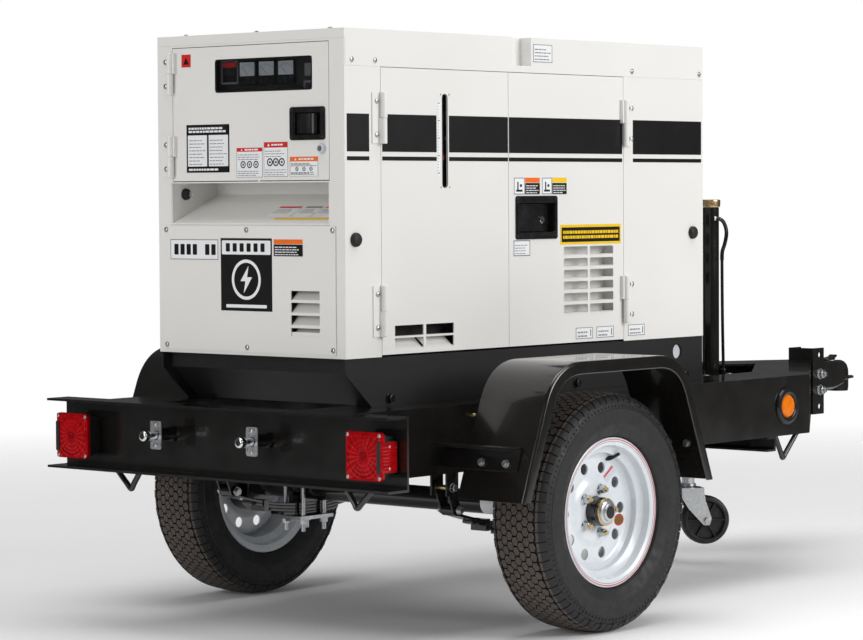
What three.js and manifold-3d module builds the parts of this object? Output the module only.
// Towable diesel generator: a sound-proof generator set on a single-axle road trailer.
// Millimetres. +X runs to the hitch, +Y to the left, +Z up. Inside the trailer group x is measured
// from the axle; the group is shifted so that the origin lies under the middle of the whole machine.
import * as THREE from "three";
import { mergeVertices } from "three/addons/utils/BufferGeometryUtils.js";
import Module from "manifold-3d";

const wasm = await Module();
wasm.setup();

// ---- Driving dimensions -------------------------------------------------------------------------
const GAP = 0.3; // between pieces that touch
const SHEET = 3; // enclosure sheet metal, drawn a little heavy
const PLATE = 6; // frame plate

// Wheels: 175/80 tyres on 13 inch rims.
const TYRE_RADIUS = 302;
const TYRE_WIDTH = 175;
const TYRE_SIDES = 32;
const AXLE_Z = TYRE_RADIUS * Math.cos(Math.PI / TYRE_SIDES); // the tyre stands on a flat facet
const HALF_TRACK = 595;
const RIM_RADIUS = 182.5;
const RIM_DISC_OFFSET = 20;
const RIM_HOLES = 10;
const RIM_HOLE_CIRCLE = 112;
const RIM_HOLE_RADIUS = 14.3;
const LUGS = 5;
const LUG_CIRCLE = 57.15;
const HUB_RADIUS = 36;
const HUB_END = 66; // outer face of the dust cap, from the middle of the wheel
const AXLE_TUBE_RADIUS = 30;

// Chassis.
const FRAME_TOP = 577;
const RAIL_BOTTOM = 410;
const RAIL_OUTER_Y = 430;
const RAIL_TOP_FLANGE = 192;
const RAIL_BOTTOM_FLANGE = 92;
const RAIL_FRONT = 1231;
const REAR_WEB_X = -681;
const REAR_FLANGE_X = -748;
const REAR_HALF_WIDTH = 587;
const REAR_BOTTOM = 399;
const HITCH_X = 1826;
const HITCH_HALF_WIDTH = 45;
const HITCH_BOTTOM = 409.5;
const HITCH_TOP = 613.5;
const HITCH_FLANGE = 60;
const COUPLER_TIP_X = 2113;
const BALL_X = 2032;
const BALL_Z = 505;
const COUPLER_Z = [480, 570];
const LATCH_Z = 553;
const COUPLER_BOLTS_Z = [484, 533.5];
const HITCH_HOLES_Z = [433, ...COUPLER_BOLTS_Z, 592];
const HITCH_HOLE_X = HITCH_X + 38;
const ARM_END_Y = 37.6;
const ARM_ANGLE = Math.atan2(RAIL_OUTER_Y - ARM_END_Y, HITCH_X - RAIL_FRONT);
const ARM_TOP_FLANGE = 166;
const LOWER_MEMBER = { x0: 1020, x1: 1062, z0: 369 };
const LOOP_ROD = 6.5;
const LOOP_DEPTH = 64;
const REAR_LOOP = { x: -640, y: [-464, -391, -342] };
const FRONT_LOOP = { x: [1072, 1112, 1182], y: -419 };

// Suspension.
const SPRING_Y = 385;
const SPRING_HALF_WIDTH = 22;
const SPRING_REAR_EYE = { x: -290, z: 318 };
const SPRING_FRONT_EYE = { x: 290, z: 325 };
const SPRING_SEAT_Z = 238;
const HANGER_REAR = { x: -314, z: 371 };

// Fenders.
const FENDER_X = -18;
const FENDER_HALF_BASE = 388;
const FENDER_HALF_TOP = 263;
const FENDER_BOTTOM = 358;
const FENDER_TOP = 687;
const FENDER_OUTER_Y = 712;
const FENDER_INNER_Y = 505;
const FENDER_CORNER = 105;
const FENDER_LIP = 32;
const BRACKET_Z = [430, 487];

// Jack and its caster.
const JACK_X = 1235;
const MAST_Y = -83;
const MAST_RADIUS = 24.5;
const MAST_BOTTOM = 555;
const MAST_TOP = 1052;
const CAP_TOP = 1074;
const LEG_RADIUS = 19;
const CASTER_RADIUS = 72;
const CASTER_Z = 132;
const CASTER_TRAIL = 50;
const CASTER_HALF_WIDTH = 22;
const CASTER_YAW = THREE.MathUtils.degToRad(-40.3);
const FORK_TOP = 228;
const JACK_CHANNEL = { x: [1140, 1205], z: 470 };
const JACK_PLATE = { x: [1150, 1292], y: [-132, 52] };
const GUIDE_BOTTOM = 440;

// Rear lamps, marker lamps and spring plungers.
const LAMP_Y = 503;
const LAMP_Z = 483.5;
const LAMP_HALF = 58;
const LAMP_FACE_X = -740;
const MARKER = { x: 1115, z: 493, radius: 52, lens: 33 };
const PLUNGER_Z = 500;
const PLUNGERS = [
  { name: "plunger_left", y: 192 },
  { name: "plunger_right", y: -141 },
];
const PLUNGER_ROD = 10;
const PLUNGER_END_X = -790;

// Enclosure.
const BOX_REAR = -600;
const BOX_FRONT = 866;
const BOX_HALF_WIDTH = 321;
const BOX_BOTTOM = 698;
const BOX_TOP = 1496;
const ROOF_FLANGE_Z = 1406;
const ROOF_REAR_FLANGE_Z = 1472;
const BASE_HALF_WIDTH = 318;
const PULL_HOLE = { x: 750, z: 659, radius: 21 };
const DOOR_Z = [703, 1404.5];
const REAR_SEAM_X = -469.5;
const MID_SEAM_X = 19.3;
const FRONT_SEAM_X = 503.7;
const SEAM = 0.8; // half the gap at a door edge
const HINGE_RADIUS = 8;
const HINGE_OUT = 10; // hinge axis outside the skin
const HINGE_LEAF = 33;
const SIDE_HINGES_Z = [[748, 873], [1219, 1343]];
const END_HINGES_Z = [[1141, 1244], [1350, 1453]];
const SIDE_LATCH = { x: [58, 206], z: [993, 1072] };
const CONTROL_DOOR = { y: [-270, 266], z: [1131, 1465] };
const WINDOW = { y: [-215, 115], z: [1351, 1432] };
const END_LATCH = { y: [-246, -154], z: [1240, 1297] };
const RECESS = { y: [-271, 275], z: [1021, 1129] };
const RECESS_DEPTH = 165;
const RECESS_RISE = 73;
const LOWER_PANEL = { y: [-291.5, 301], z: [706, 1019] };
const REAR_ACCESS = { y: [-250, 250], z: [760, 990] }; // behind the lower panel
const AIR_OUTLETS = { count: 8, bottom: 820, pitch: 58, height: 34, halfWidth: 230 };
const LOUVRE = { columns: [[245.7, 347], [356, 458]], top: 956, pitch: 30.5, height: 24, rows: 6 };
const DOOR_VENT = { columns: [[-421.6, -314.6], [-304.8, -199]], rows: [[716, 742], [747, 773]] };
const PANEL_VENT = { y: [-238.7, -142.6], rows: [[750, 770], [778, 801], [808, 832], [839, 861]] };
const GAUGE_SLOT = { x: -230, radius: 9, z: [1112, 1343] };
const LIFT_POCKET = { x: [38, 113], z: [1423, 1494], depth: 36 };

// Inside the enclosure.
const CRANK_Z = 950;
const FAN_Z = 1000;
const ALTERNATOR = { rear: -430, front: -56, radius: 190 };
const ENGINE_BLOCK = { x: [-50, 470], halfWidth: 150, z: [800, 1110] };
const MUFFLER_Z = 1320;

const CENTRE_X = (PLUNGER_END_X + COUPLER_TIP_X) / 2;

// ---- Materials ----------------------------------------------------------------------------------
const finish = (color, roughness, metalness = 0) =>
  new THREE.MeshStandardMaterial({ color, roughness, metalness });
const WHITE = finish(0xf1efec, 0.45);
const RIM_WHITE = finish(0xeef0f2, 0.35);
const GLOSS_BLACK = finish(0x141210, 0.22);
const TEXTURED_BLACK = finish(0x343235, 0.65);
const RUBBER = finish(0x2a2826, 0.85);
const ZINC = finish(0xb9bec2, 0.35, 0.9);
const CHROME = finish(0xdadada, 0.12, 1);
const BRASS = finish(0xc59a4e, 0.3, 0.9);
const RED_LENS = finish(0xb0140f, 0.18);
const AMBER_LENS = finish(0xe77a10, 0.2);
const GLASS = finish(0x20262a, 0.08);
const ENGINE_GREY = finish(0x6d7276, 0.55, 0.4);
const PLASTIC = finish(0x161616, 0.4);

// ---- Shape helpers ------------------------------------------------------------------------------
// A closed three.js geometry, moved by a matrix where one is given, as a solid to join and cut.
function solid(geometry, matrix) {
  const bare = geometry.clone();
  if (matrix) bare.applyMatrix4(matrix);
  bare.deleteAttribute("normal");
  bare.deleteAttribute("uv");
  const merged = mergeVertices(bare, 1e-4);
  return new wasm.Manifold(
    new wasm.Mesh({
      numProp: 3,
      vertProperties: merged.attributes.position.array,
      triVerts: new Uint32Array(merged.index.array),
    }),
  );
}

function geometryOf(part) {
  const mesh = part.getMesh();
  const geometry = new THREE.BufferGeometry();
  const position = new THREE.BufferAttribute(mesh.vertProperties, mesh.numProp);
  geometry.setAttribute("position", position);
  geometry.setIndex(new THREE.BufferAttribute(mesh.triVerts, 1));
  geometry.computeVertexNormals();
  return geometry;
}

const join = (first, ...others) => others.reduce((whole, part) => whole.add(part), first);
const cut = (whole, ...tools) => tools.reduce((rest, tool) => rest.subtract(tool), whole);

const ordered = (a, b) => [Math.min(a, b), Math.max(a, b)];

// A box between two limits on each axis.
function block([x0, x1], [y0, y1], [z0, z1]) {
  const box = new THREE.BoxGeometry(x1 - x0, y1 - y0, z1 - z0);
  return solid(box.translate((x0 + x1) / 2, (y0 + y1) / 2, (z0 + z1) / 2));
}

// A round bar between two points; it tapers when a second radius is given.
function bar(from, to, radius, sides = 16, endRadius = radius) {
  const start = new THREE.Vector3(...from);
  const run = new THREE.Vector3(...to).sub(start);
  const cylinder = new THREE.CylinderGeometry(endRadius, radius, run.length(), sides);
  const turn = new THREE.Quaternion().setFromUnitVectors(
    new THREE.Vector3(0, 1, 0),
    run.clone().normalize(),
  );
  const middle = start.addScaledVector(run, 0.5);
  return solid(cylinder, new THREE.Matrix4().compose(middle, turn, new THREE.Vector3(1, 1, 1)));
}

// An outline of corner points, each rounded by its radius.
function outline(corners, radius = 0) {
  const shape = new THREE.Shape();
  corners.forEach((corner, i) => {
    const at = new THREE.Vector2(...corner);
    const before = new THREE.Vector2(...corners.at(i - 1));
    const after = new THREE.Vector2(...corners[(i + 1) % corners.length]);
    const round = Array.isArray(radius) ? radius[i] : radius;
    const start = before.sub(at).setLength(round).add(at);
    const end = after.sub(at).setLength(round).add(at);
    if (i) shape.lineTo(start.x, start.y);
    else shape.moveTo(start.x, start.y);
    if (round) shape.quadraticCurveTo(at.x, at.y, end.x, end.y);
  });
  return shape;
}

const rectangle = ([a, b], [c, d]) => [[a, c], [b, c], [b, d], [a, d]];

// A prism along a main axis. Its outline is drawn in (y, z), (x, z) or (x, y) for axis x, y or z.
function prism(shape, axis, [from, to], matrix) {
  const geometry = new THREE.ExtrudeGeometry(shape, {
    depth: to - from,
    bevelEnabled: false,
    curveSegments: 4,
  });
  if (axis === "x") geometry.rotateX(Math.PI / 2).rotateZ(Math.PI / 2).translate(from, 0, 0);
  if (axis === "y") geometry.rotateX(Math.PI / 2).translate(0, to, 0);
  if (axis === "z") geometry.translate(0, 0, from);
  return solid(geometry, matrix);
}

// A closed profile of [radius, height] points turned about a main axis through `at`.
function turned(profile, axis, at = [0, 0, 0], sides = 24) {
  const points = profile.map(([r, h]) => new THREE.Vector2(r, h));
  if (THREE.ShapeUtils.isClockWise(points)) points.reverse();
  points.push(points[0].clone());
  const geometry = new THREE.LatheGeometry(points, sides, Math.PI / sides);
  if (axis === "x") geometry.rotateZ(-Math.PI / 2);
  if (axis === "z") geometry.rotateX(Math.PI / 2);
  return solid(geometry.translate(...at));
}

// A round rod bent smoothly through a list of points.
function bentRod(points, radius, sides = 8, steps = 14) {
  const path = new THREE.CatmullRomCurve3(points.map((p) => new THREE.Vector3(...p)));
  path.curveType = "centripetal";
  const section = new THREE.Shape().absarc(0, 0, radius, 0, 2 * Math.PI);
  return solid(
    new THREE.ExtrudeGeometry(section, {
      extrudePath: path,
      steps,
      curveSegments: sides,
      bevelEnabled: false,
    }),
  );
}

// ---- Scene graph --------------------------------------------------------------------------------
const machine = new THREE.Group();
const trailer = new THREE.Group();
trailer.position.x = -CENTRE_X;
machine.add(trailer);
const mirrored = new THREE.Group(); // the left side, as the mirror of the right
mirrored.scale.y = -1;
trailer.add(mirrored);

function add(name, part, material, parent = trailer) {
  const mesh = new THREE.Mesh(geometryOf(part), material);
  mesh.name = name;
  parent.add(mesh);
  return mesh;
}

// The same piece on both sides, drawn for the right, where y is negative.
function addPair(name, part, material) {
  add(name + "_right", part, material);
  add(name + "_left", part, material, mirrored);
}

// ---- Chassis ------------------------------------------------------------------------------------
// Channel section of the rails and arms: `out` is the web's outer face, flanges run inwards.
function channelSection(out, topFlange) {
  return outline([
    [out, RAIL_BOTTOM],
    [out + RAIL_BOTTOM_FLANGE, RAIL_BOTTOM],
    [out + RAIL_BOTTOM_FLANGE, RAIL_BOTTOM + PLATE],
    [out + PLATE, RAIL_BOTTOM + PLATE],
    [out + PLATE, FRAME_TOP - PLATE],
    [out + topFlange, FRAME_TOP - PLATE],
    [out + topFlange, FRAME_TOP],
    [out, FRAME_TOP],
  ]);
}

// Two ears that hold a spring eye or shackle under a rail, with the heads of their bolt.
function hanger(x, z, height) {
  const ear = 5;
  const halfLength = 22;
  const ears = [-1, 1].map((side) => {
    const inner = -SPRING_Y + side * (SPRING_HALF_WIDTH + GAP);
    const outer = inner + side * ear;
    const plate = block(
      [x - halfLength, x + halfLength],
      ordered(inner, outer),
      [z - 20, z + height],
    );
    return join(plate, bar([x, inner + side, z], [x, outer + 8 * side, z], 11, 6));
  });
  return join(...ears);
}

// A V of round rod to tie the trailer down by; `place` turns (along, z) into a point.
function tieLoop(place, [start, vertex, end]) {
  const top = RAIL_BOTTOM + PLATE / 2;
  const low = RAIL_BOTTOM - LOOP_DEPTH;
  const bend = 9;
  return bentRod(
    [
      place(start, top),
      place((start + vertex) / 2, (top + low) / 2),
      place(vertex - bend, low + bend),
      place(vertex, low),
      place(vertex + bend, low + bend),
      place((end + vertex) / 2, (top + low) / 2),
      place(end, top),
    ],
    LOOP_ROD,
    3,
    10,
  );
}

function sideRail() {
  const run = [REAR_WEB_X + PLATE + GAP, RAIL_FRONT];
  const rail = prism(channelSection(-RAIL_OUTER_Y, RAIL_TOP_FLANGE), "x", run);
  const rearLoop = tieLoop((y, z) => [REAR_LOOP.x, y, z], REAR_LOOP.y);
  const frontLoop = tieLoop((x, z) => [x, FRONT_LOOP.y, z], FRONT_LOOP.x);
  const rearHanger = hanger(HANGER_REAR.x, HANGER_REAR.z, RAIL_BOTTOM + 2 - HANGER_REAR.z);
  const frontEye = SPRING_FRONT_EYE;
  const frontHanger = hanger(frontEye.x, frontEye.z, RAIL_BOTTOM + 2 - frontEye.z);
  const outriggerTop = block([-668, -612], [-471, -424], [RAIL_BOTTOM - 4, RAIL_BOTTOM + 8]);
  return join(rail, rearLoop, frontLoop, rearHanger, frontHanger, outriggerTop);
}

// One leg of the A-frame, cut to butt on the other along the middle of the trailer.
function tongueArm() {
  const turn = new THREE.Matrix4()
    .makeTranslation(RAIL_FRONT, -RAIL_OUTER_Y, 0)
    .multiply(new THREE.Matrix4().makeRotationZ(ARM_ANGLE));
  const leg = prism(channelSection(0, ARM_TOP_FLANGE), "x", [-300, 1000], turn);
  const reach = [RAIL_FRONT + GAP, HITCH_X - GAP];
  return leg.intersect(block(reach, [-RAIL_OUTER_Y, -GAP / 2], [RAIL_BOTTOM, FRAME_TOP]));
}

function rearCrossmember() {
  const section = outline([
    [REAR_WEB_X + PLATE, REAR_BOTTOM],
    [REAR_WEB_X + PLATE, FRAME_TOP],
    [REAR_FLANGE_X, FRAME_TOP],
    [REAR_FLANGE_X, FRAME_TOP - PLATE],
    [REAR_WEB_X, FRAME_TOP - PLATE],
    [REAR_WEB_X, REAR_BOTTOM + PLATE],
    [REAR_FLANGE_X, REAR_BOTTOM + PLATE],
    [REAR_FLANGE_X, REAR_BOTTOM],
  ]);
  const channel = prism(section, "y", [-REAR_HALF_WIDTH, REAR_HALF_WIDTH]);
  const tubeEnd = REAR_WEB_X - 59;
  const tubes = PLUNGERS.map(({ y }) =>
    bar([REAR_WEB_X + 1, y, PLUNGER_Z], [tubeEnd, y, PLUNGER_Z], 16, 16),
  );
  const bores = PLUNGERS.map(({ y }) =>
    bar([REAR_WEB_X + 20, y, PLUNGER_Z], [tubeEnd - 20, y, PLUNGER_Z], PLUNGER_ROD + 1, 12),
  );
  return cut(join(channel, ...tubes), ...bores);
}

// Cross channel under the rails, ahead of the enclosure.
function lowerCrossmember() {
  const { x0, x1, z0 } = LOWER_MEMBER;
  const top = RAIL_BOTTOM - GAP;
  const section = outline([
    [x0, z0],
    [x1, z0],
    [x1, top],
    [x0, top],
    [x0, top - PLATE],
    [x1 - PLATE, top - PLATE],
    [x1 - PLATE, z0 + PLATE],
    [x0, z0 + PLATE],
  ]);
  return prism(section, "y", [-RAIL_OUTER_Y, RAIL_OUTER_Y]);
}

// Upright channel on the nose that the coupler bolts to at a choice of heights.
function hitchChannel() {
  const flangeX = HITCH_X + HITCH_FLANGE;
  const half = HITCH_HALF_WIDTH;
  const section = outline([
    [HITCH_X, -half],
    [flangeX, -half],
    [flangeX, -half + PLATE],
    [HITCH_X + PLATE, -half + PLATE],
    [HITCH_X + PLATE, half - PLATE],
    [flangeX, half - PLATE],
    [flangeX, half],
    [HITCH_X, half],
  ]);
  const channel = prism(section, "z", [HITCH_BOTTOM, HITCH_TOP]);
  const holes = HITCH_HOLES_Z.map((z) =>
    bar([HITCH_HOLE_X, -half - 1, z], [HITCH_HOLE_X, half + 1, z], 9, 8),
  );
  return cut(channel, ...holes);
}

// Ball coupler: a channel between the hitch flanges, a neck and the ball socket, with its bolts.
function coupler() {
  const inner = HITCH_HALF_WIDTH - PLATE - GAP;
  const back = HITCH_X + PLATE + GAP;
  const shank = block([back, 1960], [-inner, inner], COUPLER_Z);
  const taper = outline([
    [1950, -inner],
    [BALL_X, -31],
    [BALL_X, 31],
    [1950, inner],
  ]);
  const neck = prism(taper, "z", [COUPLER_Z[0] + 8, COUPLER_Z[1] - 3]);
  const dome = turned(
    [[0, 568], [14, 566], [26, 557], [32, 542], [33, BALL_Z], [33, 472], [0, 472]],
    "z",
    [BALL_X, 0, 0],
    16,
  );
  const tongue = outline([
    [BALL_X - 10, -34],
    [BALL_X + 34, -32],
    [COUPLER_TIP_X - 14, -14],
    [COUPLER_TIP_X, 0],
    [COUPLER_TIP_X - 14, 14],
    [BALL_X + 34, 32],
    [BALL_X - 10, 34],
  ]);
  const lip = prism(tongue, "z", [BALL_Z + 5, BALL_Z + 12]);
  const bolts = COUPLER_BOLTS_Z.map((z) => {
    const x = HITCH_HOLE_X;
    const end = HITCH_HALF_WIDTH + 22;
    const head = HITCH_HALF_WIDTH + GAP;
    return join(
      bar([x, -end, z], [x, end, z], 8, 8),
      bar([x, -head - 12, z], [x, -head, z], 14, 6),
      bar([x, head, z], [x, head + 12, z], 14, 6),
    );
  });
  const socket = turned(
    [[0, BALL_Z + 26], [14, BALL_Z + 21], [24, BALL_Z + 9], [26, BALL_Z], [26, 471], [0, 471]],
    "z",
    [BALL_X, 0, 0],
    12,
  );
  const jaw = outline([
    [BALL_X + 30, BALL_Z + 4],
    [BALL_X + 90, BALL_Z + 4],
    [BALL_X + 90, 460],
    [BALL_X, 460],
  ]);
  const slope = prism(jaw, "y", [-60, 60]);
  const latchSlot = block([1933, 2012], [-16, 16], [LATCH_Z - 3, 600]);
  return cut(join(shank, neck, dome, lip, ...bolts), socket, slope, latchSlot);
}

// Thumb lever in the slot on top of the coupler.
function couplerLatch() {
  const lever = outline(
    [
      [1941, LATCH_Z],
      [1990, LATCH_Z],
      [1999, LATCH_Z + 9],
      [2006, LATCH_Z + 22],
      [1993, LATCH_Z + 26],
      [1950, LATCH_Z + 23],
      [1941, LATCH_Z + 15],
    ],
    3,
  );
  return prism(lever, "y", [-15, 15]);
}

// ---- Jack ---------------------------------------------------------------------------------------
// An upright round post of the jack.
function post(y, [bottom, top], radius) {
  return bar([JACK_X, y, bottom], [JACK_X, y, top], radius, 20);
}

// Cross channel under the mast's foot plate, with the stub of the mast and the guide of the leg.
function jackMount() {
  const [rear, front] = JACK_CHANNEL.x;
  const bottom = JACK_CHANNEL.z;
  const top = MAST_BOTTOM - PLATE;
  const reach = RAIL_OUTER_Y - PLATE - GAP;
  const channel = block([rear, front], [-reach, reach], [bottom, top]);
  const hollow = block(
    [rear - 1, front - PLATE],
    [-RAIL_OUTER_Y, RAIL_OUTER_Y],
    [bottom + PLATE, top - PLATE],
  );
  const plate = block(JACK_PLATE.x, JACK_PLATE.y, [top - 1, MAST_BOTTOM]);
  const mastStub = post(MAST_Y, [bottom + 8, MAST_BOTTOM - 2], MAST_RADIUS);
  const guide = post(0, [GUIDE_BOTTOM, MAST_BOTTOM - 2], LEG_RADIUS + 6);
  const bore = post(0, [GUIDE_BOTTOM - 10, MAST_BOTTOM + 9], LEG_RADIUS + 1);
  return cut(join(cut(channel, hollow), plate, mastStub, guide), bore);
}

// Pull handle beside the mast: a grip above, and a thin rod down to the locking pin.
function jackHandle() {
  const side = new THREE.Vector2(0.583, -0.812);
  const near = new THREE.Vector2(-0.812, -0.583);
  const place = (out, front, z) => [
    JACK_X + out * side.x + front * near.x,
    MAST_Y + out * side.y + front * near.y,
    z,
  ];
  const grip = bentRod(
    [
      place(16, 26.5, 1017),
      place(31, 20, 1015),
      place(43, 7, 998),
      place(46, 0, 975),
      place(41, 0, 945),
      place(34, 0, 920),
      place(33, 0, 895),
    ],
    5.5,
    3,
    16,
  );
  const rod = bar(place(33, 0, 898), place(36, 0, MAST_BOTTOM + 22), 4.5, 8);
  const pin = bar(place(36, 0, MAST_BOTTOM + 4), place(36, 0, MAST_BOTTOM + 26), 8, 10);
  return join(grip, rod, pin);
}

function casterFork() {
  const outer = CASTER_HALF_WIDTH + 9;
  const crown = block([-28, 42], [-outer, outer], [FORK_TOP - 7, FORK_TOP]);
  const cheek = outline(
    [
      [-26, FORK_TOP],
      [40, FORK_TOP],
      [46, 190],
      [CASTER_TRAIL + 14, CASTER_Z + 6],
      [CASTER_TRAIL + 8, CASTER_Z - 14],
      [CASTER_TRAIL - 10, CASTER_Z - 14],
      [-6, 168],
      [-24, 200],
    ],
    4,
  );
  const cheeks = [-1, 1].map((side) => {
    return prism(cheek, "y", ordered(side * outer, side * (outer - 4)));
  });
  const pin = bar([CASTER_TRAIL, -outer - 5, CASTER_Z], [CASTER_TRAIL, outer + 5, CASTER_Z], 6, 10);
  return join(crown, ...cheeks, pin);
}

function casterWheel() {
  const half = CASTER_HALF_WIDTH;
  const web = half - 12;
  return turned(
    [
      [7, half], [16, half], [18, web], [56, web], [60, half - 1], [CASTER_RADIUS, half - 8],
      [CASTER_RADIUS, 8 - half], [60, 1 - half], [56, -web], [18, -web], [16, -half], [7, -half],
    ],
    "y",
    [0, 0, 0],
    20,
  );
}

// ---- Running gear -------------------------------------------------------------------------------
function axle() {
  const tubeEnd = HALF_TRACK - 25;
  const spindleEnd = HALF_TRACK + 45;
  return join(
    bar([0, -tubeEnd, AXLE_Z], [0, tubeEnd, AXLE_Z], AXLE_TUBE_RADIUS, 20),
    bar([0, -spindleEnd, AXLE_Z], [0, spindleEnd, AXLE_Z], 18, 12),
  );
}

// Spring pack hung under the axle: four leaves between two eyes, with the shackle at the rear.
function leafSpring() {
  const rear = SPRING_REAR_EYE;
  const front = SPRING_FRONT_EYE;
  const limits = [-SPRING_Y - SPRING_HALF_WIDTH, -SPRING_Y + SPRING_HALF_WIDTH];
  const leafThickness = 8;
  const leaves = [1, 0.78, 0.58, 0.4].map((share, i) => {
    const curve = (t) => {
      const x = share * (t < 0 ? -rear.x : front.x) * t;
      const eyeZ = t < 0 ? rear.z : front.z;
      const rise = (eyeZ - SPRING_SEAT_Z - 30) * (x / front.x) ** 2;
      return [x, SPRING_SEAT_Z + 25 - i * leafThickness + rise];
    };
    const steps = [-1, -0.67, -0.33, 0, 0.33, 0.67, 1];
    const top = steps.map(curve);
    const bottom = top.map(([x, z]) => [x, z - leafThickness - 0.5]).reverse();
    return prism(outline([...top, ...bottom]), "y", limits);
  });
  const eyes = [rear, front].map(({ x, z }) =>
    bar([x, limits[0], z - 4], [x, limits[1], z - 4], 15, 12),
  );
  const link = prism(
    outline([[rear.x - 10, rear.z - 12], [rear.x + 12, rear.z - 6], [HANGER_REAR.x + 10, 384],
      [HANGER_REAR.x - 12, 376]]),
    "y",
    [limits[0] + 1, limits[1] - 1],
  );
  return join(...leaves, ...eyes, link);
}

// Tie plate and U-bolts that clamp the spring to the axle.
function springClamp() {
  const y0 = -SPRING_Y - SPRING_HALF_WIDTH;
  const y1 = -SPRING_Y + SPRING_HALF_WIDTH;
  const plateTop = SPRING_SEAT_Z - 8.5;
  const plate = block([-62, 62], [y0 - 22, y1 + 22], [plateTop - 9, plateTop]);
  const archTop = AXLE_Z + AXLE_TUBE_RADIUS + 8;
  const bolts = [-41, 41].flatMap((x) => [
    bar([x, y0 - 10, 188], [x, y0 - 10, archTop], 6.5, 6),
    bar([x, y1 + 10, 188], [x, y1 + 10, archTop], 6.5, 6),
    block([x - 6.5, x + 6.5], [y0 - 16, y1 + 16], [archTop - 8, archTop + 5]),
  ]);
  const saddle = block([-47, 47], [y0 - 16, y1 + 16], [archTop - 7, archTop]);
  return join(plate, ...bolts, saddle);
}

// Side view of the fender, moved inwards by `inset` all round except at its open bottom.
function fenderOutline(inset) {
  const slope = (FENDER_HALF_BASE - FENDER_HALF_TOP) / (FENDER_TOP - FENDER_BOTTOM);
  const sideShift = inset * Math.hypot(1, slope);
  const half = (z) => FENDER_HALF_BASE - slope * (z - FENDER_BOTTOM) - sideShift;
  const top = FENDER_TOP - inset;
  const low = inset ? FENDER_BOTTOM - 1 : FENDER_BOTTOM;
  const corner = FENDER_CORNER - inset * 0.6;
  const corners = [[-half(low), low], [half(low), low], [half(top), top], [-half(top), top]];
  return outline(
    corners.map(([x, z]) => [FENDER_X + x, z]),
    [0, 0, corner, corner],
  );
}

function fender() {
  const wall = 4;
  const skin = [-FENDER_OUTER_Y, -FENDER_INNER_Y];
  const sheet = cut(
    prism(fenderOutline(0), "y", skin),
    prism(fenderOutline(wall), "y", [skin[0] - 1, skin[1] + 1]),
  );
  const lipDepth = [-FENDER_OUTER_Y, -FENDER_OUTER_Y + wall];
  const lip = cut(
    prism(fenderOutline(0), "y", lipDepth),
    prism(fenderOutline(FENDER_LIP), "y", [lipDepth[0] - 1, lipDepth[1] + 1]),
  );
  return join(sheet, lip);
}

// Angle iron from the rail to the fender; `end` is -1 behind the wheel and 1 ahead of it.
function fenderBracket(end) {
  const slope = (FENDER_HALF_BASE - FENDER_HALF_TOP) / (FENDER_TOP - FENDER_BOTTOM);
  const face = (z, out) => [
    FENDER_X + end * (FENDER_HALF_BASE - slope * (z - FENDER_BOTTOM) + out),
    z,
  ];
  const [low, high] = BRACKET_Z;
  const thick = 5.5;
  const section = outline([
    face(low, 2 * GAP),
    face(high, 2 * GAP),
    face(high, 40),
    face(high - thick, 40),
    face(high - thick, thick),
    face(low, thick),
  ]);
  return prism(section, "y", [-672, -RAIL_OUTER_Y - GAP]);
}

// Tyre section as [radius, half width] pairs from the bead to the crown.
function tyre() {
  const half = TYRE_WIDTH / 2;
  const outer = [
    [168.3, half - 30], [184.5, half - 25], [225, half], [275, half - 6], [TYRE_RADIUS, half - 26],
  ];
  const inner = [[286, half - 30], [225, half - 14], [168.3, half - 40]];
  const side = (points, sign) => points.map(([r, w]) => [r, sign * w]);
  const profile = [
    ...side(outer, 1),
    ...side(outer, -1).reverse(),
    ...side(inner, -1).reverse(),
    ...side(inner, 1),
  ];
  return turned(profile, "y", [0, 0, 0], TYRE_SIDES);
}

// Pressed steel rim; `out` is the side that faces away from the trailer (negative y on the right).
function rim() {
  const wall = 4;
  const outside = [
    [RIM_RADIUS, 67], [RIM_RADIUS - 4, 62.5], [167, 61], [166, 40], [150, 30], [150, -28],
    [166, -40], [167, -61], [RIM_RADIUS - 4, -62.5], [RIM_RADIUS, -67],
  ];
  const inside = [
    [RIM_RADIUS - wall, -67], [167 - wall, -64], [150 - wall, -32], [150 - wall, 34],
    [167 - wall, 64], [RIM_RADIUS - wall, 67],
  ];
  const sides = 20;
  const barrel = turned([...outside, ...inside], "y", [0, 0, 0], sides);
  const disc = turned(
    [
      [HUB_RADIUS + 1, RIM_DISC_OFFSET], [76, RIM_DISC_OFFSET], [96, RIM_DISC_OFFSET - 8],
      [149, RIM_DISC_OFFSET - 10], [149, RIM_DISC_OFFSET - 15], [96, RIM_DISC_OFFSET - 13],
      [76, RIM_DISC_OFFSET - 5], [HUB_RADIUS + 1, RIM_DISC_OFFSET - 5],
    ],
    "y",
    [0, 0, 0],
    sides,
  );
  const around = (count, radius) =>
    Array.from({ length: count }, (_, i) => {
      const angle = (2 * Math.PI * i) / count;
      return [radius * Math.cos(angle), radius * Math.sin(angle)];
    });
  const holes = around(RIM_HOLES, RIM_HOLE_CIRCLE).map(([x, z]) =>
    bar([x, -10, z], [x, 60, z], RIM_HOLE_RADIUS, 8),
  );
  const nuts = around(LUGS, LUG_CIRCLE).map(([x, z]) =>
    bar([x, RIM_DISC_OFFSET - 2, z], [x, RIM_DISC_OFFSET + 17, z], 10, 6, 8),
  );
  return join(cut(join(barrel, disc), ...holes), ...nuts);
}

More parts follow.
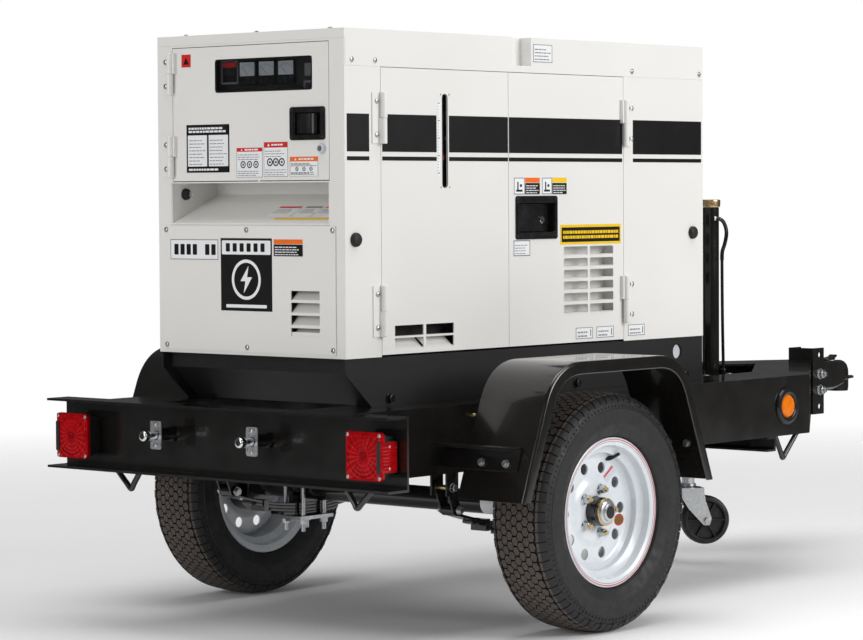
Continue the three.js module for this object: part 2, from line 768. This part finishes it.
// Hub barrel with its brake-drum flange, bored for the spindle and closed by a dust cap.
function hub() {
  const face = RIM_DISC_OFFSET - 5 - GAP;
  return turned(
    [
      [19, -24], [74, -24], [74, face], [HUB_RADIUS, face], [HUB_RADIUS, HUB_END - 12],
      [30, HUB_END - 10], [28, HUB_END - 2], [22, HUB_END], [0, HUB_END], [0, 52], [19, 52],
    ],
    "y",
    [0, 0, 0],
    16,
  );
}

// ---- Lamps and plungers -------------------------------------------------------------------------
function tailLight() {
  const inner = LAMP_HALF - 7;
  const around = (middle, half) => [middle - half, middle + half];
  const face = outline(rectangle(around(-LAMP_Y, LAMP_HALF), around(LAMP_Z, LAMP_HALF)), 12);
  const lens = prism(face, "x", [LAMP_FACE_X, LAMP_FACE_X + 14]);
  const housing = block(
    [LAMP_FACE_X + 13, REAR_WEB_X - GAP],
    around(-LAMP_Y, inner),
    around(LAMP_Z, inner),
  );
  const sideLens = block(
    [LAMP_FACE_X + 18, REAR_WEB_X - 6],
    [-LAMP_Y - inner - 9, -LAMP_Y - inner + 1],
    [LAMP_Z - 38, LAMP_Z + 34],
  );
  return join(lens, housing, sideLens);
}

function markerLight() {
  return turned(
    [
      [0, 2], [MARKER.radius, 2], [MARKER.radius - 3, 9], [MARKER.lens, 9], [MARKER.lens - 4, 14],
      [0, 17],
    ].map(([r, h]) => [r, 2 - GAP - h]),
    "y",
    [MARKER.x, -RAIL_OUTER_Y, MARKER.z],
    16,
  );
}

function plunger(y) {
  const at = (x) => [x, y, PLUNGER_Z];
  return join(
    bar(at(REAR_WEB_X + 14), at(PLUNGER_END_X + 19), PLUNGER_ROD, 12),
    bar(at(PLUNGER_END_X + 20), at(PLUNGER_END_X), 13.5, 12, 11),
  );
}

// ---- Enclosure ----------------------------------------------------------------------------------
function baseSkid() {
  const profile = (inset) =>
    outline([
      [BOX_REAR + 2 + inset, BOX_BOTTOM],
      [BOX_REAR + 2 + inset, BOX_BOTTOM - 38],
      [BOX_REAR + 95 + inset, FRAME_TOP + GAP],
      [BOX_FRONT, FRAME_TOP + GAP],
      [BOX_FRONT, BOX_BOTTOM],
    ]);
  const half = BASE_HALF_WIDTH;
  const wall = 6;
  const ends = [-1, 1].map((side) => {
    return prism(profile(0), "y", ordered(side * half, side * (half - wall)));
  });
  const tub = cut(
    prism(profile(30), "y", [-half + 1, half - 1]),
    block([BOX_REAR + 135, BOX_FRONT - wall], [wall - half, half - wall], [FRAME_TOP + 12, 800]),
  );
  const beams = [[-340, -290], [470, 520]].map((x) =>
    block(x, [-half + 2, half - 2], [BOX_BOTTOM - 34, BOX_BOTTOM]),
  );
  const { x, z, radius } = PULL_HOLE;
  return cut(join(tub, ...ends, ...beams), bar([x, -half - 1, z], [x, half + 1, z], radius, 16));
}

// Fixed half of a side hinge: the leaf on the skin and the lower knuckle. `side` points to the leaf.
function fixedHinge(axisX, side, [z0, z1]) {
  const skin = -BOX_HALF_WIDTH;
  const leafX = ordered(axisX + side * HINGE_LEAF, axisX + side * 5);
  const leaf = block(leafX, [skin - SHEET, skin + 1], [z0, z1]);
  const middle = (z0 + z1) / 2;
  const knuckle = bar(
    [axisX, skin - HINGE_OUT, z0],
    [axisX, skin - HINGE_OUT, middle - GAP],
    HINGE_RADIUS,
    8,
  );
  const webX = ordered(axisX + side * 10, axisX);
  const web = block(webX, [skin - HINGE_OUT, skin - 1], [z0, middle - GAP]);
  return join(leaf, web, knuckle);
}

// Moving half of a side hinge: the upper knuckle with its web to the door.
function movingHinge(axisX, side, [z0, z1]) {
  const skin = -BOX_HALF_WIDTH;
  const middle = (z0 + z1) / 2;
  const knuckle = bar(
    [axisX, skin - HINGE_OUT, middle + GAP],
    [axisX, skin - HINGE_OUT, z1],
    HINGE_RADIUS,
    8,
  );
  const webX = ordered(axisX - side * 14, axisX - side);
  return join(knuckle, block(webX, [skin - HINGE_OUT, skin + 1], [middle + GAP, z1]));
}

// A pressed door: a skin with a folded rim behind it, set back from the edges.
function doorPan([x0, x1], [z0, z1]) {
  const skin = block([x0, x1], [-BOX_HALF_WIDTH, SHEET - BOX_HALF_WIDTH], [z0, z1]);
  const fold = 12;
  const depth = [-BOX_HALF_WIDTH + 1, -BOX_HALF_WIDTH + 22];
  const rim = block([x0 + fold, x1 - fold], depth, [z0 + fold, z1 - fold]);
  const inner = block(
    [x0 + fold + SHEET, x1 - fold - SHEET],
    [depth[0] - 5, depth[1] + 5],
    [z0 + fold + SHEET, z1 - fold - SHEET],
  );
  return join(skin, cut(rim, inner));
}

function rearSideDoor() {
  const pan = doorPan([REAR_SEAM_X + SEAM, MID_SEAM_X - SEAM], DOOR_Z);
  const hinges = SIDE_HINGES_Z.map((z) => movingHinge(REAR_SEAM_X, -1, z));
  const through = [-BOX_HALF_WIDTH - 1, -BOX_HALF_WIDTH + 8];
  const vents = DOOR_VENT.columns.flatMap((x) => DOOR_VENT.rows.map((z) => block(x, through, z)));
  const { x, radius, z } = GAUGE_SLOT;
  const slot = prism(
    outline(rectangle([x - radius, x + radius], z), radius - 0.5),
    "y",
    through,
  );
  return cut(join(pan, ...hinges), ...vents, slot);
}

// Dish behind a skin opening; the opening itself is cut last.
function dish([x0, x1], [z0, z1], depth) {
  const back = -BOX_HALF_WIDTH + depth;
  const outer = block([x0 - SHEET, x1 + SHEET], [-BOX_HALF_WIDTH + 1, back], [z0 - SHEET, z1 + SHEET]);
  return cut(outer, block([x0, x1], [-BOX_HALF_WIDTH - 1, back - SHEET], [z0, z1]));
}

function frontSideDoor() {
  const pan = doorPan([MID_SEAM_X + SEAM, FRONT_SEAM_X - SEAM], DOOR_Z);
  const hinges = SIDE_HINGES_Z.map((z) => movingHinge(FRONT_SEAM_X, 1, z));
  const through = [-BOX_HALF_WIDTH - 1, -BOX_HALF_WIDTH + SHEET + 0.5];
  const { columns, top, pitch, height, rows } = LOUVRE;
  const rowZ = Array.from({ length: rows }, (_, i) => [top - i * pitch - height, top - i * pitch]);
  const louvres = columns.flatMap((x) => rowZ.map((z) => block(x, through, z)));
  const bottom = rowZ.at(-1)[0];
  const baffle = dish([columns[0][0] - 6, columns[1][1] + 6], [bottom - 6, top + 6], 40);
  const latchHole = block(SIDE_LATCH.x, through, SIDE_LATCH.z);
  const latchDish = dish(SIDE_LATCH.x, SIDE_LATCH.z, 26);
  const lid = cut(join(pan, ...hinges), ...louvres, latchHole);
  return join(lid, baffle, latchDish);
}

// Folding paddle in a door's dish, with its pivot barrel and the round key lock beside it.
function sideLatch() {
  const [x0, x1] = SIDE_LATCH.x;
  const [z0, z1] = SIDE_LATCH.z;
  const face = -BOX_HALF_WIDTH + 6;
  const paddle = block([x0 + 4, x1 - 24], [face, face + 5], [z0 + 5, z1 - 5]);
  const barrel = bar([x0 + 9, face + 5, z0 + 5], [x0 + 9, face + 5, z1 - 5], 5, 10);
  const lock = bar([x1 - 60, face - 3, 1026], [x1 - 60, face + 1, 1026], 9, 12);
  return join(paddle, barrel, lock);
}

// Fixed half of an end hinge, on the left of the control door.
function fixedEndHinge([z0, z1]) {
  const axis = [BOX_REAR - HINGE_OUT, CONTROL_DOOR.y[1] + SEAM];
  const middle = (z0 + z1) / 2;
  const leaf = block([BOX_REAR - SHEET, BOX_REAR + 1], [axis[1] + 5, axis[1] + HINGE_LEAF], [z0, z1]);
  const web = block([axis[0], BOX_REAR + 1], [axis[1], axis[1] + 10], [z0, middle - GAP]);
  const knuckle = bar([...axis, z0], [...axis, middle - GAP], HINGE_RADIUS, 8);
  return join(leaf, web, knuckle);
}

function rearShell() {
  const z = [BOX_BOTTOM + GAP, ROOF_FLANGE_Z - GAP];
  const wallTop = ROOF_REAR_FLANGE_Z - GAP;
  const y = [-BOX_HALF_WIDTH, BOX_HALF_WIDTH];
  const inner = [SHEET - BOX_HALF_WIDTH, BOX_HALF_WIDTH - SHEET];
  const wall = block([BOX_REAR, BOX_REAR + SHEET], y, [z[0], wallTop]);
  const stripX = [BOX_REAR, REAR_SEAM_X - SEAM];
  const strips = cut(block(stripX, y, z), block([BOX_REAR - 1, 0], inner, [z[0] - 1, z[1] + 1]));
  const depth = [BOX_REAR - 1, BOX_REAR + SHEET + 1];
  const open = ([a, b], [c, d], clear) => block(depth, [a - clear, b + clear], [c - clear, d + clear]);
  const openings = [
    open(CONTROL_DOOR.y, CONTROL_DOOR.z, 2 * SEAM),
    open(RECESS.y, RECESS.z, GAP),
    open(REAR_ACCESS.y, REAR_ACCESS.z, 0),
  ];
  const hinges = SIDE_HINGES_Z.flatMap((span) => {
    const hinge = fixedHinge(REAR_SEAM_X, -1, span);
    return [hinge, mirrorY(hinge)];
  });
  return join(cut(join(wall, strips), ...openings), ...hinges, ...END_HINGES_Z.map(fixedEndHinge));
}

// The same solid on the other side of the trailer.
function mirrorY(part) {
  const geometry = geometryOf(part).scale(1, -1, 1);
  const turn = geometry.index.array;
  for (let i = 0; i < turn.length; i += 3) [turn[i], turn[i + 1]] = [turn[i + 1], turn[i]];
  return solid(geometry);
}

function frontShell() {
  const z = [BOX_BOTTOM + GAP, ROOF_FLANGE_Z - GAP];
  const y = [-BOX_HALF_WIDTH, BOX_HALF_WIDTH];
  const inner = [SHEET - BOX_HALF_WIDTH, BOX_HALF_WIDTH - SHEET];
  const outer = block([FRONT_SEAM_X + SEAM, BOX_FRONT], y, z);
  const hollow = block([0, BOX_FRONT - SHEET], inner, [z[0] - 1, z[1] + 1]);
  const { count, bottom, pitch, height, halfWidth } = AIR_OUTLETS;
  const outlets = Array.from({ length: count }, (_, i) => {
    const low = bottom + i * pitch;
    const through = [BOX_FRONT - SHEET - 1, BOX_FRONT + 1];
    return block(through, [-halfWidth, halfWidth], [low, low + height]);
  });
  const hinges = SIDE_HINGES_Z.flatMap((span) => {
    const hinge = fixedHinge(FRONT_SEAM_X, 1, span);
    return [hinge, mirrorY(hinge)];
  });
  return join(cut(outer, hollow, ...outlets), ...hinges);
}

function roof() {
  const y = [-BOX_HALF_WIDTH, BOX_HALF_WIDTH];
  const shell = cut(
    block([BOX_REAR, BOX_FRONT], y, [ROOF_FLANGE_Z, BOX_TOP]),
    block(
      [BOX_REAR + SHEET, BOX_FRONT - SHEET],
      [y[0] + SHEET, y[1] - SHEET],
      [ROOF_FLANGE_Z - 1, BOX_TOP - SHEET],
    ),
    block(
      [BOX_REAR - 1, BOX_REAR + SHEET + 1],
      [y[0] - 1, y[1] + 1],
      [ROOF_FLANGE_Z - 1, ROOF_REAR_FLANGE_Z],
    ),
  );
  const { x, z, depth } = LIFT_POCKET;
  const bottom = BOX_HALF_WIDTH - depth;
  const walls = [-1, 1].map((side) => {
    const across = ordered(side * (BOX_HALF_WIDTH - 1), side * (bottom - SHEET));
    return block([x[0] - SHEET, x[1] + SHEET], across, [z[0] - SHEET, BOX_TOP - 1]);
  });
  const holes = [-1, 1].map((side) => {
    const across = ordered(side * (BOX_HALF_WIDTH + 2), side * bottom);
    return block(x, across, [z[0], BOX_TOP + 1]);
  });
  return cut(join(shell, ...walls), ...holes);
}

function controlDoor() {
  const { y, z } = CONTROL_DOOR;
  const skinX = [BOX_REAR, BOX_REAR + SHEET];
  const skin = block(skinX, y, z);
  const fold = 12;
  const rimX = [BOX_REAR + 1, BOX_REAR + 18];
  const rim = cut(
    block(rimX, [y[0] + fold, y[1] - fold], [z[0] + fold, z[1] - fold]),
    block(
      [rimX[0] - 5, rimX[1] + 5],
      [y[0] + fold + SHEET, y[1] - fold - SHEET],
      [z[0] + fold + SHEET, z[1] - fold - SHEET],
    ),
  );
  const through = [BOX_REAR - 5, BOX_REAR + SHEET + 0.5];
  const window = block(through, WINDOW.y, WINDOW.z);
  const latchHole = block(through, END_LATCH.y, END_LATCH.z);
  const grow = ([a, b]) => [a - SHEET, b + SHEET];
  const latchDish = cut(
    block([BOX_REAR + 1, BOX_REAR + 24], grow(END_LATCH.y), grow(END_LATCH.z)),
    block([BOX_REAR - 1, BOX_REAR + 21], END_LATCH.y, END_LATCH.z),
  );
  const axis = [BOX_REAR - HINGE_OUT, y[1] + SEAM];
  const hinges = END_HINGES_Z.map(([z0, z1]) => {
    const middle = (z0 + z1) / 2 + GAP;
    const web = block([axis[0], BOX_REAR + 1], [axis[1] - 14, axis[1] - 1], [middle, z1]);
    return join(bar([...axis, middle], [...axis, z1], HINGE_RADIUS, 8), web);
  });
  return join(cut(join(skin, rim), window, latchHole), latchDish, ...hinges);
}

function controlWindow() {
  const shrink = ([a, b]) => [a + GAP, b - GAP];
  return block([BOX_REAR + 0.5, BOX_REAR + SHEET], shrink(WINDOW.y), shrink(WINDOW.z));
}

// Instrument bulkhead behind the control door, with the switchgear box on its back.
function controlPanel() {
  const plate = block([BOX_REAR + 27, BOX_REAR + 31], [-316, 316], [1140, 1400]);
  const upper = block([BOX_REAR + 27, BOX_REAR + 31], [-250, 250], [1399, 1460]);
  const box = block([BOX_REAR + 30, BOX_REAR + 110], [-230, 230], [1150, 1440]);
  return join(plate, upper, box);
}

function endLatch() {
  const { y, z } = END_LATCH;
  const face = BOX_REAR + 6;
  const paddle = block([face, face + 5], [y[0] + 18, y[1] - 4], [z[0] + 4, z[1] - 4]);
  const barrel = bar([face + 5, y[1] - 9, z[0] + 4], [face + 5, y[1] - 9, z[1] - 4], 5, 10);
  return join(paddle, barrel);
}

// Sloping-floored recess where the output cables leave.
function outputRecess() {
  const { y, z } = RECESS;
  const front = BOX_REAR + RECESS_DEPTH;
  const floor = z[0] + RECESS_RISE;
  const outer = outline([
    [BOX_REAR + GAP, z[0] + GAP],
    [BOX_REAR + GAP, z[1] - GAP],
    [front, z[1] - GAP],
    [front, floor],
  ]);
  const inner = outline([
    [BOX_REAR - 1, z[0] + GAP + SHEET],
    [BOX_REAR - 1, z[1] - GAP - SHEET],
    [front - SHEET, z[1] - GAP - SHEET],
    [front - SHEET, floor + 3],
  ]);
  return cut(
    prism(outer, "y", [y[0] + GAP, y[1] - GAP]),
    prism(inner, "y", [y[0] + GAP + SHEET, y[1] - GAP - SHEET]),
  );
}

function rearLowerPanel() {
  const { y, z } = LOWER_PANEL;
  const x = [BOX_REAR - SHEET - GAP, BOX_REAR - GAP];
  const through = [x[0] - 1, x[1] + 1];
  const vents = PANEL_VENT.rows.map((row) => block(through, PANEL_VENT.y, row));
  return cut(block(x, y, z), ...vents);
}

// ---- Inside the enclosure -----------------------------------------------------------------------
function engine() {
  const foot = BOX_BOTTOM + GAP;
  const feet = [-1, 1].map((side) => {
    return block([474, 516], ordered(side * 215, side * 120), [foot, 800]);
  });
  return join(
    block(ENGINE_BLOCK.x, [-ENGINE_BLOCK.halfWidth, ENGINE_BLOCK.halfWidth], ENGINE_BLOCK.z),
    block([-30, 450], [-95, 95], [1109, 1235]),
    block([-40, 440], [-120, 120], [730, 801]),
    block([400, 520], [-216, 216], [780, 830]),
    bar([469, 0, FAN_Z], [545, 0, FAN_Z], 60, 16),
    bar([540, 0, FAN_Z], [566, 0, FAN_Z], 205, 16),
    bar([ALTERNATOR.front, 0, CRANK_Z], [-49, 0, CRANK_Z], ALTERNATOR.radius, 20),
    ...feet,
  );
}

function alternator() {
  const foot = BOX_BOTTOM + GAP;
  const feet = [-1, 1].map((side) => {
    return block([-338, -292], ordered(side * 205, side * 120), [foot, 830]);
  });
  return join(
    bar([ALTERNATOR.rear, 0, CRANK_Z], [ALTERNATOR.front - GAP, 0, CRANK_Z], ALTERNATOR.radius, 20),
    block([-380, -120], [-120, 120], [1100, 1170]),
    ...feet,
  );
}

function radiator() {
  const core = block([600, 660], [-265, 265], [BOX_BOTTOM + GAP, 1330]);
  const shroud = cut(
    block([572, 601], [-250, 250], [760, 1250]),
    bar([571, 0, FAN_Z], [602, 0, FAN_Z], 225, 20),
  );
  const cap = bar([630, 0, 1329], [630, 0, 1350], 24, 12);
  return join(core, shroud, cap);
}

function muffler() {
  return join(
    bar([60, 0, MUFFLER_Z], [440, 0, MUFFLER_Z], 72, 20),
    bar([200, 0, 1235 + GAP], [200, 0, 1300], 24, 12),
    bar([439, 0, MUFFLER_Z + 20], [590, 0, MUFFLER_Z + 20], 24, 12),
  );
}

function fuelTank() {
  const tank = block([-270, 450], [-300, 300], [FRAME_TOP + 12 + GAP, BOX_BOTTOM - 8]);
  return join(tank, bar([400, -245, BOX_BOTTOM - 9], [400, -245, BOX_BOTTOM + 40], 30, 12));
}

// ---- Assembly -----------------------------------------------------------------------------------
addPair("side_rail", sideRail(), GLOSS_BLACK);
addPair("tongue_arm", tongueArm(), GLOSS_BLACK);
add("rear_crossmember", rearCrossmember(), GLOSS_BLACK);
add("lower_crossmember", lowerCrossmember(), GLOSS_BLACK);
add("hitch_channel", hitchChannel(), GLOSS_BLACK);
add("coupler", coupler(), GLOSS_BLACK);
add("coupler_latch", couplerLatch(), GLOSS_BLACK);

add("jack_mount", jackMount(), GLOSS_BLACK);
add("jack_mast", post(MAST_Y, [MAST_BOTTOM + GAP, MAST_TOP], MAST_RADIUS), GLOSS_BLACK);
add("jack_cap", post(MAST_Y, [MAST_TOP + GAP, CAP_TOP], MAST_RADIUS + 4.5), BRASS);
add("jack_handle", jackHandle(), GLOSS_BLACK);
add("jack_leg", post(0, [FORK_TOP + GAP, MAST_BOTTOM - 10], LEG_RADIUS), ZINC);
const caster = new THREE.Group();
caster.position.set(JACK_X, 0, 0);
caster.rotation.z = CASTER_YAW;
trailer.add(caster);
add("caster_fork", casterFork(), ZINC, caster);
add("caster_wheel", casterWheel(), RUBBER, caster).position.set(CASTER_TRAIL, 0, CASTER_Z);

add("axle", axle(), GLOSS_BLACK);
addPair("leaf_spring", leafSpring(), GLOSS_BLACK);
addPair("spring_clamp", springClamp(), ZINC);
addPair("fender", fender(), GLOSS_BLACK);
addPair("fender_bracket_rear", fenderBracket(-1), GLOSS_BLACK);
addPair("fender_bracket_front", fenderBracket(1), GLOSS_BLACK);

const wheelPieces = [
  ["rim", rim(), RIM_WHITE],
  ["tyre", tyre(), RUBBER],
  ["hub", hub(), GLOSS_BLACK],
];
for (const [side, sign] of [["right", -1], ["left", 1]]) {
  const wheel = new THREE.Group();
  wheel.position.set(0, sign * HALF_TRACK, AXLE_Z);
  wheel.scale.y = sign;
  trailer.add(wheel);
  for (const [name, part, material] of wheelPieces) add(`${name}_${side}`, part, material, wheel);
}

addPair("tail_light", tailLight(), RED_LENS);
addPair("marker_light", markerLight(), AMBER_LENS);
for (const { name, y } of PLUNGERS) add(name, plunger(y), CHROME);

add("base_skid", baseSkid(), TEXTURED_BLACK);
add("rear_shell", rearShell(), WHITE);
add("front_shell", frontShell(), WHITE);
add("roof", roof(), WHITE);
addPair("side_door_rear", rearSideDoor(), WHITE);
addPair("side_door_front", frontSideDoor(), WHITE);
addPair("side_latch", sideLatch(), PLASTIC);
add("control_door", controlDoor(), WHITE);
add("control_window", controlWindow(), GLASS);
add("control_panel", controlPanel(), PLASTIC);
add("control_latch", endLatch(), PLASTIC);
add("output_recess", outputRecess(), WHITE);
add("rear_lower_panel", rearLowerPanel(), WHITE);

add("engine", engine(), ENGINE_GREY);
add("alternator", alternator(), ENGINE_GREY);
add("radiator", radiator(), TEXTURED_BLACK);
add("muffler", muffler(), ENGINE_GREY);
add("fuel_tank", fuelTank(), PLASTIC);

export default machine;
